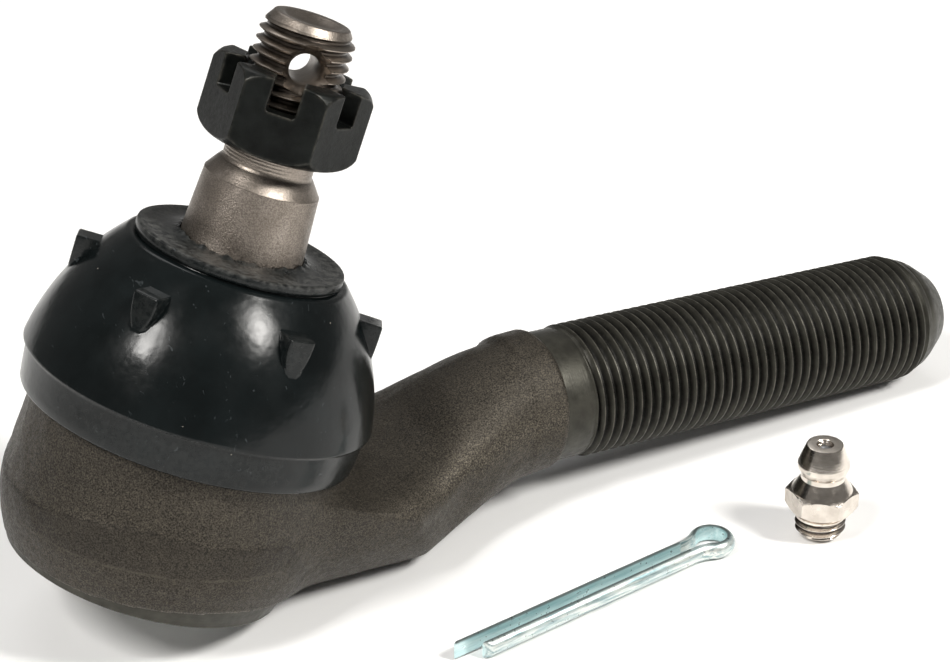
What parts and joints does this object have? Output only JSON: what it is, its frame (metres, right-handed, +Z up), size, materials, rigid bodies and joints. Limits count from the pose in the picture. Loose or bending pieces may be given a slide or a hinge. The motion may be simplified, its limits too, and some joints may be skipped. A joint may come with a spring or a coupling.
{
  "type": "tie rod end",
  "caption": "Tie rod end: tapered ball stud in a booted, forged socket on a cranked arm with a threaded shank, with castle nut, cotter pin and grease fitting.",
  "frame": {"origin": "on the bench that the assembly lies on, under the middle of its bounding box", "axes": "+Z up from the bench; +X along the shank, seen from above, from the socket to the threaded end; the stud leans towards +X"},
  "size_m": [0.1346, 0.0548, 0.0714],
  "materials": {
    "forged_steel": "rough forged skin with a dark phosphate coat",
    "bearing_iron": "ground, oiled",
    "spring_steel": "blued",
    "plated_steel": "plated, satin",
    "stud_steel": "blasted satin with a warm grey tone",
    "boot_rubber": "smooth moulded, glossy dome and matt lip",
    "black_oxide": "black oxide, oiled, worn at the edges",
    "zinc_plate": "bright zinc with a blue passivation tint",
    "nickel_plate": "turned and nickel plated"
  },
  "bodies": {
    "housing": {"socket_housing": "forged_steel", "cover_plate": "plated_steel", "preload_spring": "spring_steel", "dust_boot": "boot_rubber"},
    "bearings": {"upper_bearing": "bearing_iron", "lower_bearing": "bearing_iron"},
    "boot_collar": {"boot_lip": "boot_rubber"},
    "stud": {"ball_stud": "stud_steel"},
    "nut": {"castle_nut": "black_oxide"},
    "cotter_pin": {"cotter_pin": "zinc_plate"},
    "fitting": {"grease_fitting": "nickel_plate", "fitting_check_spring": "spring_steel"},
    "check_ball": {"fitting_check_ball": "bearing_iron"}
  },
  "joints": [
    {"name": "bearing_turn", "type": "hinge", "parent": "housing", "child": "bearings", "pos_m": [-0.04615, 0.00631, 0.01964], "axis": [0.3708, 0, 0.9287], "continuous": true},
    {"name": "stud_tilt", "type": "hinge", "parent": "bearings", "child": "boot_collar", "pos_m": [-0.04615, 0.00631, 0.01964], "axis": [0, 1, 0], "range_deg": [-25, 25], "deforming": ["dust_boot"]},
    {"name": "stud_spin", "type": "hinge", "parent": "boot_collar", "child": "stud", "pos_m": [-0.04615, 0.00631, 0.01964], "axis": [0.3708, 0, 0.9287], "continuous": true},
    {"name": "nut_off", "type": "slide", "parent": "stud", "child": "nut", "axis": [0.3708, 0, 0.9287], "range_m": [0, 0.018]},
    {"name": "cotter_pin_lift", "type": "slide", "parent": "housing", "child": "cotter_pin", "axis": [0, 0, 1], "range_m": [0, 0.05]},
    {"name": "fitting_lift", "type": "slide", "parent": "housing", "child": "fitting", "axis": [0, 0, 1], "range_m": [0, 0.05]},
    {"name": "check_ball_press", "type": "slide", "parent": "fitting", "child": "check_ball", "axis": [0, 0, -1], "range_m": [0, 0.0006], "stiffness_N_per_m": 60, "deforming": ["fitting_check_spring"]}
  ]
}
